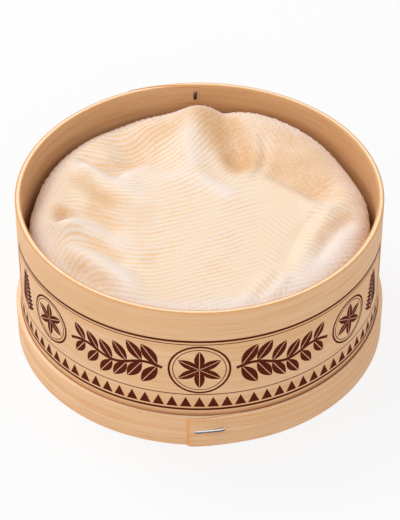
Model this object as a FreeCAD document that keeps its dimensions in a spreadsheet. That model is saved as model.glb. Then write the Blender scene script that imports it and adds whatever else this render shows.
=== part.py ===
# A whole vacherin: a soft washed-rind cheese in the round spruce box that holds it.
# The lid lies upside down under the box, and the box stands in it.
# Millimetres, +Z up. The origin is the middle of the underside, on the box's axis.
# -Y is the front, where the lid's hoop is lapped and stapled. The box's hoop is lapped at the back.

import FreeCAD
import Part
import math
import os

os.makedirs("parts", exist_ok=True)
doc = FreeCAD.newDocument("BoxedVacherin")

# ---------------------------------------------------------------- driving dimensions

SIZES = {
    # the box: a strip bent to a hoop round a bottom board
    "hoop_radius": 77.0,        # outside of the hoop
    "hoop_wall": 2.5,           # thickness of the strip
    "hoop_height": 67.7,        # from the underside of the box to its rim
    "box_board": 3.0,           # thickness of the bottom board
    "board_clearance": 0.1,     # between a board's edge and its hoop
    "hoop_lap_step": 0.9,       # how far the lapped end stands in from the inside face
    "hoop_lap_turn": 24.0,      # degrees of the hoop that the lapped end covers
    # the lid, upside down under the box
    "lid_clearance": 0.4,       # between the two hoops
    "lid_wall": 1.9,            # thickness of the lid's strip
    "lid_height": 15.4,
    "lid_board": 3.0,
    "lid_lap_step": 1.0,        # how far the lapped end stands out from the outside face
    "lid_lap_turn": 16.0,       # degrees of the hoop that the lapped end covers
    "lid_lap_offset": 3.7,      # degrees from the front to the lapped end, towards -X
    "lap_feather": 5.0,         # degrees by which a lap stops short of thinning to nothing
    # staples, bent from the same flat wire
    "wire_width": 1.2,
    "wire_thick": 0.7,
    "wire_sunk": 0.3,           # how deep a crown is pressed into the wood
    "wire_clearance": 0.05,     # between the wire and the wood around it
    "front_crown": 12.0,        # length of the staple in the lid's hoop
    "front_leg": 2.2,           # how deep its legs go
    "front_turn": 3.0,          # degrees from the front to its middle, towards +X
    "front_tilt": 5.0,          # degrees that it leans, its +X end up
    "front_raise": 0.5,         # of its middle over the middle of the lid's height
    "back_crown": 6.4,          # height of the upright staple in the box's hoop
    "back_offset": 2.1,         # from the cut end of the hoop to the staple's middle
    "back_drop": 6.7,           # from the rim down to its middle
    "clench_gap": 0.5,          # between its two ends, which are bent over inside
    # the cheese
    "cheese_gap": 2.8,          # between the cheese's side and the box's hoop
    "bank_below_rim": 9.4,      # from the hoop's rim down to the rind's outer bank
    "bank_rise": 7.3,           # of that bank over the rind's flat middle
    "bank_inset": 9.7,          # from the cheese's side in to where the bank is at its full height
    "bank_run": 19.0,           # and from there in to where it starts to rise
    "shoulder_run": 9.0,        # how far the round shoulder reaches in from the side
    "shoulder_drop": 8.5,       # how far it falls
    "foot_round": 3.0,          # rounding of the cheese's lower edge
}

sheet = doc.addObject("Spreadsheet::Sheet", "Sizes")
for row, (alias, value) in enumerate(SIZES.items(), start=1):
    sheet.set(f"A{row}", alias)
    sheet.set(f"B{row}", str(value))
    sheet.setAlias(f"B{row}", alias)
doc.recompute()


def size(alias):
    return float(getattr(sheet, alias))


# ---------------------------------------------------------------- makers

def bind(thing, formulas):
    """Binds properties of an object to formulas of the sheet's cells."""
    for prop, formula in formulas.items():
        thing.setExpression(prop, formula)


def disc(name, radius, height, base="0"):
    """An upright cylinder on the box's axis that starts at the height base."""
    thing = doc.addObject("Part::Cylinder", name)
    bind(thing, {"Radius": radius, "Height": height, "Placement.Base.z": base})
    return thing


def sector(name, radius, height, base, start, turn):
    """A wedge of such a cylinder, from the bearing start and over turn degrees."""
    thing = disc(name, radius, height, base)
    bind(thing, {"Angle": turn, "Placement.Rotation.Angle": start})
    return thing


def brick(name, length, width, height, corner):
    """A box whose low corner is given as three formulas."""
    thing = doc.addObject("Part::Box", name)
    bind(thing, {"Length": length, "Width": width, "Height": height})
    for axis, formula in zip("xyz", corner):
        thing.setExpression(f"Placement.Base.{axis}", formula)
    return thing


def cut(name, base, tool):
    thing = doc.addObject("Part::Cut", name)
    thing.Base = base
    thing.Tool = tool
    return thing


def fuse(name, pieces):
    thing = doc.addObject("Part::MultiFuse", name)
    thing.Shapes = pieces
    return thing


# ---------------------------------------------------------------- box

def hoop_lap(name, height, clearance):
    """The lapped end of the box's hoop, which thickens its inside in a spiral up to a step.

    The spiral is a circle of the radius inside - k, pushed k towards the bearing where the lap thins
    out, so that its distance from the inside face grows as k (1 - cos a) with the bearing a.
    """
    base = "Sizes.lid_board"
    inside = "(Sizes.hoop_radius - Sizes.hoop_wall)"
    spread = "(Sizes.hoop_lap_turn + Sizes.lap_feather)"
    k = f"(Sizes.hoop_lap_step / (1 - cos({spread} * 1 deg)))"
    middle = f"{inside} + Sizes.hoop_wall / 2"
    leaf = sector(f"{name}_leaf", middle, height, base, "90", "Sizes.hoop_lap_turn")
    spiral = disc(f"{name}_spiral", f"{inside} - {k} - {clearance}", height, base)
    bind(spiral, {"Placement.Base.x": f"{k} * cos((90 + {spread}) * 1 deg)"})
    bind(spiral, {"Placement.Base.y": f"{k} * sin((90 + {spread}) * 1 deg)"})
    return cut(name, leaf, spiral)


def box_wall(seat):
    """The tall hoop, lapped at the back, with a seat for its staple."""
    height = "Sizes.hoop_height"
    outer = disc("hoop_outside", "Sizes.hoop_radius", height, "Sizes.lid_board")
    bore = disc("hoop_inside", "Sizes.hoop_radius - Sizes.hoop_wall", height, "Sizes.lid_board")
    ring = cut("hoop_ring", outer, bore)
    lap = hoop_lap("hoop_lap", height, "0")
    return cut("box_wall", fuse("hoop_with_lap", [ring, lap]), seat)


def box_board():
    """The round bottom board, let into the lower end of the hoop and trimmed to its lap."""
    radius = "Sizes.hoop_radius - Sizes.hoop_wall - Sizes.board_clearance"
    board = disc("board_blank", radius, "Sizes.box_board", "Sizes.lid_board")
    trim = hoop_lap("board_trim", "Sizes.box_board", "Sizes.board_clearance")
    return cut("box_board", board, trim)


# ---------------------------------------------------------------- lid

def lid_board():
    radius = "Sizes.hoop_radius + Sizes.lid_clearance - Sizes.board_clearance"
    return disc("lid_board", radius, "Sizes.lid_board")


def lid_wall(seat):
    """The low hoop. Its lapped end lies outside and stops at a step left of the front.

    As on the box, the lap is the space between the outside face and a shifted circle, here one of the
    radius outside + k, pushed k away from the bearing where the lap thins out.
    """
    height = "Sizes.lid_height"
    inside = "(Sizes.hoop_radius + Sizes.lid_clearance)"
    outside = f"({inside} + Sizes.lid_wall)"
    end = "(-90 - Sizes.lid_lap_offset)"
    spread = "(Sizes.lid_lap_turn + Sizes.lap_feather)"
    k = f"(Sizes.lid_lap_step / (1 - cos({spread} * 1 deg)))"
    outer = disc("lid_outside", outside, height)
    bore = disc("lid_inside", inside, height)
    leaf = sector("lid_leaf", f"{outside} + 2 * Sizes.lid_lap_step", height, "0", end, "Sizes.lid_lap_turn")
    spiral = disc("lid_spiral", f"{outside} + {k}", height)
    bind(spiral, {"Placement.Base.x": f"-{k} * cos(({end} + {spread}) * 1 deg)"})
    bind(spiral, {"Placement.Base.y": f"-{k} * sin(({end} + {spread}) * 1 deg)"})
    lap = doc.addObject("Part::Common", "lid_lap")
    lap.Base = leaf
    lap.Tool = spiral
    return cut("lid_wall", cut("lid_ring", fuse("lid_with_lap", [outer, lap]), bore), seat)


# ---------------------------------------------------------------- staples

def staple(name, crown, leg, clench, grow):
    """A flat wire staple in its own frame: crown along X on the face y = 0, legs towards +Y.

    The crown is sunk into that face. With a clench the legs' ends are bent over towards each other.
    grow thickens the wire all round, for the seat that the staple fills in the wood.
    """
    width = f"(Sizes.wire_width + 2 * {grow})"
    thick = f"(Sizes.wire_thick + 2 * {grow})"
    half = f"({crown} / 2 + {grow})"
    low = f"-{width} / 2"
    front = f"(Sizes.wire_sunk - Sizes.wire_thick - {grow})"
    reach = f"({leg} + {grow} - {front})"
    pieces = [brick(f"{name}_crown", f"2 * {half}", thick, width, (f"-{half}", front, low))]
    pieces.append(brick(f"{name}_leg_low", thick, reach, width, (f"-{half}", front, low)))
    pieces.append(brick(f"{name}_leg_high", thick, reach, width, (f"{half} - {thick}", front, low)))
    if clench:
        bent = f"({half} - Sizes.clench_gap / 2 + {grow})"
        depth = f"{leg} + {grow} - {thick}"
        pieces.append(brick(f"{name}_bent_low", bent, thick, width, (f"-{half}", depth, low)))
        pieces.append(brick(f"{name}_bent_high", bent, thick, width, (f"{half} - {bent}", depth, low)))
    return fuse(name, pieces)


def place_front(thing):
    """Puts a staple on the outside of the lid's lap, turned and leaning."""
    outside = size("hoop_radius") + size("lid_clearance") + size("lid_wall")
    spread = math.radians(size("lid_lap_turn") + size("lap_feather"))
    k = size("lid_lap_step") / (1 - math.cos(spread))
    turn = math.radians(size("front_turn"))
    bearing_left = spread - math.radians(size("lid_lap_offset")) - turn
    face = outside + k * (1 - math.cos(bearing_left))
    height = size("lid_height") / 2 + size("front_raise")
    spot = FreeCAD.Vector(face * math.sin(turn), -face * math.cos(turn), height)
    aim = FreeCAD.Rotation(FreeCAD.Vector(0, 0, 1), size("front_turn"))
    lean = FreeCAD.Rotation(FreeCAD.Vector(0, 1, 0), -size("front_tilt"))
    thing.Placement = FreeCAD.Placement(spot, aim * lean)


def place_back(thing):
    """Stands a staple upright in the box's hoop, its crown outside and its ends bent over inside."""
    turn = math.asin(size("back_offset") / size("hoop_radius"))
    face = size("hoop_radius")
    height = size("lid_board") + size("hoop_height") - size("back_drop")
    spot = FreeCAD.Vector(-face * math.sin(turn), face * math.cos(turn), height)
    aim = FreeCAD.Rotation(FreeCAD.Vector(0, 0, 1), 180 + math.degrees(turn))
    upright = FreeCAD.Rotation(FreeCAD.Vector(0, 1, 0), -90)
    thing.Placement = FreeCAD.Placement(spot, aim * upright)


# ---------------------------------------------------------------- cheese

# Ridges and furrows of the rind. Each runs on a parabola through three places, which are given as
# shares of the cheese's radius to the right and to the back. Then come its height at the two ends
# (below 0 is a furrow) and its half width at the two ends, in millimetres.
FOLDS = [
    # the back: a sharp ridge in from the edge, a pocket beside it, a broad hump and its trough
    ((-0.02, 1.04), (-0.04, 0.72), (0.00, 0.48), (6.2, 3.6), (6.0, 5.5)),
    ((0.00, 0.50), (0.08, 0.36), (0.25, 0.24), (2.6, 1.0), (5.0, 3.6)),
    ((0.11, 0.90), (0.16, 0.74), (0.24, 0.53), (-2.0, -6.5), (3.4, 5.2)),
    ((0.35, 0.80), (0.38, 0.60), (0.28, 0.40), (2.4, 1.6), (3.6, 3.0)),
    ((0.28, 0.98), (0.50, 0.84), (0.70, 0.66), (5.0, 3.0), (9.0, 8.0)),
    ((0.38, 0.52), (0.56, 0.34), (0.76, 0.08), (-4.0, -6.0), (6.5, 5.0)),
    ((0.26, 0.26), (0.50, 0.18), (0.68, -0.04), (1.4, 2.4), (3.6, 3.4)),
    # the left half of the back, swollen over the flat middle
    ((-0.50, 0.52), (-0.25, 0.58), (-0.02, 0.56), (2.0, 3.0), (7.0, 7.0)),
    ((-0.12, 0.84), (-0.28, 0.77), (-0.44, 0.67), (-2.0, -2.0), (5.0, 5.0)),
    ((-0.10, 1.00), (-0.30, 0.94), (-0.48, 0.85), (2.6, 1.4), (6.0, 5.0)),
    # the left: crests that run in from the edge, with furrows between them
    ((-0.84, 0.46), (-0.62, 0.40), (-0.34, 0.22), (2.4, 1.2), (4.5, 3.6)),
    ((-0.68, 0.58), (-0.58, 0.48), (-0.42, 0.35), (-2.0, -1.8), (4.0, 3.2)),
    ((-0.76, 0.34), (-0.66, 0.28), (-0.54, 0.18), (-1.8, -1.2), (3.8, 4.0)),
    ((-0.88, 0.20), (-0.72, 0.17), (-0.50, 0.02), (2.0, 0.8), (4.0, 4.0)),
    ((-0.90, 0.02), (-0.78, 0.00), (-0.70, -0.02), (-4.0, -3.4), (2.6, 2.6)),
    ((-0.66, 0.05), (-0.56, -0.06), (-0.46, -0.16), (-2.6, -1.6), (3.2, 3.6)),
    ((-0.86, -0.12), (-0.66, -0.10), (-0.44, -0.32), (3.0, 1.4), (4.6, 5.0)),
    ((-0.62, -0.40), (-0.54, -0.52), (-0.46, -0.60), (-2.6, -3.0), (5.0, 4.4)),
    # the right: a roll that curls in over the flat middle, with a furrow outside it
    ((0.94, 0.16), (0.74, -0.02), (0.58, -0.50), (4.6, 2.6), (4.6, 4.0)),
    ((0.84, 0.20), (0.62, 0.02), (0.50, -0.38), (-3.0, -2.0), (3.0, 3.0)),
    ((0.96, -0.06), (0.82, -0.20), (0.66, -0.44), (-4.2, -2.2), (4.0, 3.4)),
    # the front bank
    ((0.62, -0.60), (0.10, -0.86), (-0.48, -0.72), (1.6, 1.0), (6.0, 6.0)),
]

STAMP_SPACING = 0.7     # distance between the round bumps that add up to a fold, in half widths


def fold_bumps(fold, radius):
    """The round bumps, (x, y, height, half width), that add up to one fold.

    n bumps at equal steps of the parabola's parameter t, from 0 to 1, each a Gaussian of the local
    half width. Their height is scaled by step / (half width sqrt(2 pi)), so that a long even row of
    them has the fold's height.
    """
    start, middle, end, heights, widths = fold
    length = radius * (math.dist(start, middle) + math.dist(middle, end))
    count = 1 + math.ceil(length / (STAMP_SPACING * min(widths)))
    step = length / (count - 1)
    bumps = []
    for i in range(count):
        t = i / (count - 1)
        weights = ((1 - t) * (1 - 2 * t), 4 * t * (1 - t), t * (2 * t - 1))
        x = radius * sum(w * p[0] for w, p in zip(weights, (start, middle, end)))
        y = radius * sum(w * p[1] for w, p in zip(weights, (start, middle, end)))
        width = widths[0] + (widths[1] - widths[0]) * t
        height = heights[0] + (heights[1] - heights[0]) * t
        bumps.append((x, y, height * step / (width * math.sqrt(2 * math.pi)), width))
    return bumps


def rind_height(x, y, middle, bank, bumps):
    """Height of the rind: a flat middle, a bank that rises smoothly round it, and the folds."""
    start, end, rise = bank
    t = min(max((math.hypot(x, y) - start) / (end - start), 0), 1)
    z = middle + rise * t * t * (3 - 2 * t)
    for bump_x, bump_y, height, width in bumps:
        z += height * math.exp(-((x - bump_x) ** 2 + (y - bump_y) ** 2) / (2 * width ** 2))
    return z


BEARINGS = 120          # poles of the rind's surface round the axis
STEPS_TOP = 24          # and outwards: over the top, the shoulder, the side and the foot
STEPS_SHOULDER = 6
STEPS_SIDE = 4
STEPS_FOOT = 3
DEGREE = 3


def cheese():
    """One soft solid: a B-spline surface from the middle of the rind to the foot, and a flat base.

    The surface's poles lie on rays. Each ray goes out over the rind, down a quarter of an ellipse at
    the shoulder, down the side and round a quarter circle at the foot.
    """
    radius = size("hoop_radius") - size("hoop_wall") - size("cheese_gap")
    floor = size("lid_board") + size("box_board")
    rim = size("lid_board") + size("hoop_height")
    middle = rim - size("bank_below_rim") - size("bank_rise")
    bank_end = radius - size("bank_inset")
    bank = (bank_end - size("bank_run"), bank_end, size("bank_rise"))
    bumps = [bump for fold in FOLDS for bump in fold_bumps(fold, radius)]
    run = size("shoulder_run")
    drop = size("shoulder_drop")
    foot = size("foot_round")

    def ray(bearing):
        across = math.cos(bearing)
        back = math.sin(bearing)

        def rind(r):
            return rind_height(r * across, r * back, middle, bank, bumps)

        section = []
        for i in range(STEPS_TOP + 1):
            r = (radius - run) * i / STEPS_TOP
            section.append((r, rind(r)))
        for i in range(1, STEPS_SHOULDER + 1):
            turn = math.pi / 2 * i / STEPS_SHOULDER
            r = radius - run + run * math.sin(turn)
            section.append((r, rind(r) - drop * (1 - math.cos(turn))))
        top = section[-1][1]
        for i in range(1, STEPS_SIDE + 1):
            section.append((radius, top + (floor + foot - top) * i / STEPS_SIDE))
        for i in range(1, STEPS_FOOT + 1):
            turn = math.pi / 2 * i / STEPS_FOOT
            section.append((radius - foot * (1 - math.cos(turn)), floor + foot * (1 - math.sin(turn))))
        return [FreeCAD.Vector(r * across, r * back, z) for r, z in section]

    # Rays taken clockwise, so that the surface faces outwards.
    poles = [ray(-2 * math.pi * i / BEARINGS) for i in range(BEARINGS)]
    spans = len(poles[0]) - DEGREE
    round_knots = list(range(BEARINGS + 1))
    out_knots = list(range(spans + 1))
    out_counts = [DEGREE + 1] + [1] * (spans - 1) + [DEGREE + 1]
    surface = Part.BSplineSurface()
    surface.buildFromPolesMultsKnots(
        poles, [1] * (BEARINGS + 1), out_counts, round_knots, out_knots, True, False, DEGREE, DEGREE)
    side = surface.toShape()
    rim = [edge for edge in side.Edges if not edge.Degenerated and edge.isClosed()]
    base = Part.Face(Part.Wire(rim))
    base.reverse()
    solid = doc.addObject("Part::Feature", "cheese")
    solid.Shape = Part.Solid(Part.Shell([side, base]))
    solid.Placement = FreeCAD.Placement()
    return solid


# ---------------------------------------------------------------- assembly

front = ("Sizes.front_crown", "Sizes.front_leg", False)
back = ("Sizes.back_crown", "(Sizes.hoop_wall + Sizes.hoop_lap_step + Sizes.wire_thick)", True)
staple_front = staple("staple_front", *front, "0")
staple_back = staple("staple_back", *back, "0")
front_seat = staple("front_seat", *front, "Sizes.wire_clearance")
back_seat = staple("back_seat", *back, "Sizes.wire_clearance")
doc.recompute()
for thing in (staple_front, front_seat):
    place_front(thing)
for thing in (staple_back, back_seat):
    place_back(thing)

nodes = [
    cheese(),
    box_wall(back_seat),
    box_board(),
    lid_wall(front_seat),
    lid_board(),
    staple_front,
    staple_back,
]
for node in nodes:
    node.Label = node.Name
doc.recompute()

for thing in doc.Objects:
    if "Invalid" in thing.State or "Error" in thing.State:
        raise RuntimeError(f"{thing.Name} did not build: {thing.State}")
for node in nodes:
    if node.Shape.isNull() or not node.Shape.isValid() or len(node.Shape.Solids) != 1:
        raise RuntimeError(f"{node.Name} is not one valid solid")
for node in nodes:
    node.Shape.exportStep(f"parts/{node.Label}.step")
    print(f"{node.Label}: {node.Shape.Volume / 1000:.1f} cm3")
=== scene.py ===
"""Looks of a boxed vacherin: a soft washed-rind cheese in its open spruce box, on the upturned lid."""

import bpy
import math
import numpy as np
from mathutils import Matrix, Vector


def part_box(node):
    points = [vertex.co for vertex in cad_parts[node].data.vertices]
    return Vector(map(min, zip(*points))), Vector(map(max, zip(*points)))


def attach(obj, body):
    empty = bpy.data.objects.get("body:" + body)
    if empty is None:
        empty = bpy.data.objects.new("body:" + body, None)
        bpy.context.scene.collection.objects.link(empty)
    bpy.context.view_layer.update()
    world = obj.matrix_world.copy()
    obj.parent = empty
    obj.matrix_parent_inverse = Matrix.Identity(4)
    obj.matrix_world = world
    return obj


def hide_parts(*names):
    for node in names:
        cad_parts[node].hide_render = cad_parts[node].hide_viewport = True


MM = 0.001
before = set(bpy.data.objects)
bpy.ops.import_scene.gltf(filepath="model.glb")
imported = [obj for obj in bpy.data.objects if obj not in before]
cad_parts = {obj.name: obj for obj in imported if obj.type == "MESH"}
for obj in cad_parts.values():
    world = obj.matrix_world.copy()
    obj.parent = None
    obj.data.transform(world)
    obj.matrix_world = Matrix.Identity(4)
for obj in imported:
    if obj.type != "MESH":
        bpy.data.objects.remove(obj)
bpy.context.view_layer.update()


# ---------------------------------------------------------------- sizes, in millimetres

def span(node):
    """Lowest and highest corner of a CAD node, in millimetres."""
    low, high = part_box(node)
    return np.array(low) / MM, np.array(high) / MM


BOX_LOW, BOX_HIGH = span("box_wall")
LID_LOW, LID_HIGH = span("lid_wall")
CHEESE_LOW, CHEESE_HIGH = span("cheese")
HOOP_RADIUS = BOX_HIGH[0]
RIM = BOX_HIGH[2]
CHEESE_RADIUS = CHEESE_HIGH[0]
CHEESE_FOOT = CHEESE_LOW[2]


# ---------------------------------------------------------------- meshes

def mesh_piece(name, points, faces, material, rounded=True):
    """Makes a mesh object from points in millimetres (n, 3) and a list of face index arrays."""
    mesh = bpy.data.meshes.new(name)
    mesh.from_pydata((points * MM).tolist(), [], [f for group in faces for f in group.tolist()])
    mesh.polygons.foreach_set("use_smooth", [rounded] * len(mesh.polygons))
    mesh.materials.append(material)
    piece = bpy.data.objects.new(name, mesh)
    bpy.context.scene.collection.objects.link(piece)
    return piece


def grid_faces(rows, columns, close_columns=False, first=0):
    """Quads between the neighbours of a grid of points, wrapped round across its rows where it is closed."""
    index = first + np.arange(rows * columns).reshape(rows, columns)
    if close_columns:
        index = np.hstack([index, index[:, :1]])
    corners = (index[:-1, :-1], index[:-1, 1:], index[1:, 1:], index[1:, :-1])
    return np.stack(corners, axis=-1).reshape(-1, 4)


def attribute(piece, name, values):
    """Stores one number or one vector for each point of a piece."""
    values = np.asarray(values, dtype=np.float32)
    kind = "FLOAT" if values.ndim == 1 else "FLOAT_VECTOR"
    layer = piece.data.attributes.new(name, kind, "POINT")
    layer.data.foreach_set("value" if kind == "FLOAT" else "vector", values.ravel())


def smooth(t):
    """0 below 0, 1 above 1, and 3t^2 - 2t^3 between."""
    t = np.clip(t, 0, 1)
    return t * t * (3 - 2 * t)


def softly(t):
    """0 well below 0, t well above 0, with a smooth turn between: ln(1 + e^t)."""
    return np.logaddexp(0, t)


def around(radius, bearing, height):
    """Points at these radii, bearings in radians and heights."""
    return np.stack([radius * np.cos(bearing), radius * np.sin(bearing), height], axis=-1)


WAVES = 8


def ripple(x, y, scale, seed):
    """Smooth unevenness of about -1 to 1: a sum of eight sine waves in random directions.

    Their lengths lie round the given scale, their directions and phases come from the seed.
    """
    rng = np.random.default_rng(seed)
    turns = rng.uniform(0, np.pi, WAVES)
    lengths = scale * rng.uniform(0.6, 1.7, WAVES)
    phases = rng.uniform(0, 6.28, WAVES)
    total = np.zeros(np.broadcast(x, y).shape)
    for turn, length, phase in zip(turns, lengths, phases):
        total = total + np.sin((x * np.cos(turn) + y * np.sin(turn)) * 2 * np.pi / length + phase)
    return total / 4


# ---------------------------------------------------------------- rind

# The flat middle lies this far below the rim. The bank round it rises over a run that ends this far
# in from the side. The shoulder is a quarter of an ellipse, and the foot a quarter of a circle.
MIDDLE_BELOW_RIM = 10.7
BANK_RISE = 2.6
BANK_INSET = 13.0
BANK_RUN = 18.0
SHOULDER_RUN = 12.0
SHOULDER_DROP = 8.0
FOOT_ROUND = 3.0

# Ridges and furrows, as in the solid: a parabola through three places, in shares of the cheese's
# radius to the right and to the back, the height at its two ends and the half width at its two ends.
FOLDS = [
    # a ridge in from the back edge, down to the flat middle
    ((0.01, 0.98), (-0.04, 0.77), (-0.06, 0.55), (5.8, 3.4), (6.4, 6.2)),
    ((-0.06, 0.50), (0.00, 0.31), (0.19, 0.14), (1.8, 1.0), (5.0, 2.8)),
    # the pocket right of it, with a low bulge and a crease that close it on the right
    ((0.16, 0.84), (0.21, 0.64), (0.24, 0.43), (-1.2, -4.2), (4.4, 4.0)),
    ((0.32, 0.70), (0.35, 0.55), (0.30, 0.37), (0.8, 0.8), (3.0, 2.8)),
    ((0.145, 0.99), (0.15, 0.90), (0.17, 0.82), (-1.6, -0.8), (2.0, 2.4)),
    ((0.38, 0.66), (0.40, 0.52), (0.33, 0.34), (-1.0, -1.6), (1.9, 1.6)),
    # the broad hump at the back right, the trough inside it and the edge of the flat middle
    ((0.26, 0.92), (0.52, 0.80), (0.70, 0.58), (3.8, 1.8), (7.0, 7.5)),
    ((0.42, 0.38), (0.60, 0.24), (0.80, 0.06), (-2.2, -4.6), (4.0, 5.4)),
    ((0.40, 0.27), (0.58, 0.15), (0.74, -0.05), (1.0, 1.8), (3.0, 2.8)),
    # the back left: a valley in from the edge and a low crest along the flat middle
    ((-0.46, 0.78), (-0.45, 0.60), (-0.40, 0.44), (-2.4, -3.8), (6.6, 6.0)),
    ((-0.46, 0.31), (-0.39, 0.36), (-0.32, 0.41), (1.6, 1.2), (2.6, 2.8)),
    ((-0.44, 0.26), (-0.20, 0.31), (0.02, 0.27), (1.0, 1.0), (3.6, 3.6)),
    # the left: three crests that slant in from the edge, each with a furrow behind it
    ((-0.70, 0.39), (-0.57, 0.28), (-0.37, 0.14), (3.0, 1.4), (3.6, 3.4)),
    ((-0.70, 0.47), (-0.60, 0.415), (-0.49, 0.33), (-4.2, -3.2), (2.8, 2.4)),
    ((-0.80, -0.175), (-0.66, -0.185), (-0.45, -0.37), (3.0, 1.6), (3.2, 3.4)),
    ((-0.80, 0.10), (-0.64, -0.05), (-0.48, -0.18), (-2.4, -2.2), (3.8, 3.4)),
    ((-0.83, -0.075), (-0.80, -0.08), (-0.77, -0.085), (-5.0, -5.0), (2.2, 2.2)),
    ((-0.72, -0.40), (-0.52, -0.53), (-0.37, -0.73), (2.4, 1.6), (3.8, 3.4)),
    ((-0.70, -0.26), (-0.56, -0.35), (-0.43, -0.48), (-2.2, -1.8), (3.2, 2.8)),
    ((-0.72, -0.52), (-0.60, -0.61), (-0.48, -0.70), (-0.9, -0.9), (3.4, 3.0)),
    # the right: a roll across the edge of the flat middle, with a furrow on each side
    ((0.88, 0.14), (0.73, -0.08), (0.56, -0.55), (2.4, 1.8), (4.4, 3.2)),
    ((0.74, 0.01), (0.61, -0.16), (0.50, -0.46), (-1.4, -1.4), (2.0, 2.4)),
    ((0.88, -0.11), (0.79, -0.22), (0.68, -0.42), (-1.0, -1.6), (2.2, 2.2)),
    # the front right: two small lobes
    ((0.25, -0.80), (0.33, -0.69), (0.40, -0.57), (0.9, 1.0), (2.2, 2.0)),
    ((0.38, -0.78), (0.45, -0.68), (0.49, -0.60), (0.9, 0.9), (2.0, 1.8)),
    # the left and right edges hang lower than the back
    ((-0.98, 0.06), (-0.94, 0.22), (-0.86, 0.40), (-3.0, -0.6), (5.0, 5.0)),
    ((0.98, 0.26), (0.93, 0.40), (0.84, 0.54), (-1.8, -1.8), (4.6, 5.0)),
]


FOLD_STEP = 0.7


def folds_at(x, y, folds):
    """Height that folds add at the places x, y.

    Each fold is a row of Gaussian bumps at equal steps, of 0.7 half widths or less, along the parabola
    through its three places. A bump's height is the fold's height times step / (half width sqrt(2 pi)),
    so that a long row of them adds up to the fold's height.
    """
    total = np.zeros(x.shape)
    for start, middle, end, heights, widths in folds:
        length = CHEESE_RADIUS * (math.dist(start, middle) + math.dist(middle, end))
        count = 1 + math.ceil(length / (FOLD_STEP * min(widths)))
        t = np.linspace(0, 1, count)
        weights = np.stack([(1 - t) * (1 - 2 * t), 4 * t * (1 - t), t * (2 * t - 1)])
        places = CHEESE_RADIUS * np.array([start, middle, end]).T @ weights
        width = np.interp(t, (0, 1), widths)
        height = np.interp(t, (0, 1), heights) * length / (count - 1) / (width * math.sqrt(2 * math.pi))
        for (px, py), h, w in zip(places.T, height, width):
            total += h * np.exp(-((x - px) ** 2 + (y - py) ** 2) / (2 * w * w))
    return total


def patch(x, y, *paths):
    """Soft mask, near 1 along each path and 0 away from it: 1 - exp(-2 f) of the folds f.

    A path is three places, a half width and, where it isn't 1, the height of the fold.
    """
    folds = [(*path[:3], (path[4:] or (1,)) * 2, (path[3],) * 2) for path in paths]
    return 1 - np.exp(-2 * folds_at(x, y, folds))


# Turned families of the ribs that the draining cloth has pressed into the rind: the direction that
# they run in, in degrees from +X, the distance from rib to rib, their strength, how far they are
# broken up into knobs, and the paths round which they lie, each three places and a half width.
TURNED_RIBS = [
    (55.0, 2.1, 0.8, 0.0, [((0.05, 0.84), (0.07, 0.56), (0.16, 0.32), 6.5)]),
    (-64.0, 2.0, 1.3, 0.9, [((0.44, 0.72), (0.47, 0.48), (0.60, 0.28), 7.0)]),
    (-47.0, 2.6, 0.8, 0.0, [((0.52, 0.06), (0.47, -0.20), (0.45, -0.44), 5.4)]),
    (-20.0, 2.4, 1.25, 0.2, [((0.90, 0.12), (0.72, -0.10), (0.56, -0.54), 5.4)]),
    (-50.0, 2.5, 0.9, 0.0, [((0.28, -0.77), (0.36, -0.66), (0.45, -0.58), 3.6)]),
]
# Where the ribs are rubbed away.
RUBBED = [
    ((0.34, 0.18), (0.46, 0.10), (0.58, 0.00), 4.5),
    ((0.60, 0.86), (0.78, 0.66), (0.90, 0.44), 6.0),
]
RIB_PITCH = 2.9
RIB_DEPTH = 0.15
KNOB_LENGTH = 1.2


def main_ribs(x, y, uneven):
    """Phase of the main ribs, one rib for each whole number.

    The ribs are lines of equal y - rise over their pitch. From a brink near the left edge they fall to
    both sides. They climb gently over the middle, and steeply at the back left up to the ridge. They
    lie closer at the front and on the left.
    """
    brink = -56 + 2.6 * softly(-(y + 10) / 6)
    slope = 0.42 * x + 6.3 * softly(-(x + 28) / 6) - 6.6 * softly((brink - x) / 4)
    climb = 0.35 * (3.5 * softly((x + 31) / 3.5) - 5 * softly((x - 2) / 5)) - 8.5
    rest = y - slope - climb * smooth((y - 4) / 28) * (1 - 0.4 * smooth((y - 42) / 16))
    phase = rest / RIB_PITCH - 0.1 * softly((rest - 24) / 8) - 0.7 * softly(-(rest + 28) / 10)
    return phase * (1 + 0.2 * smooth(-(x + 15) / 35)) + uneven


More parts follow.
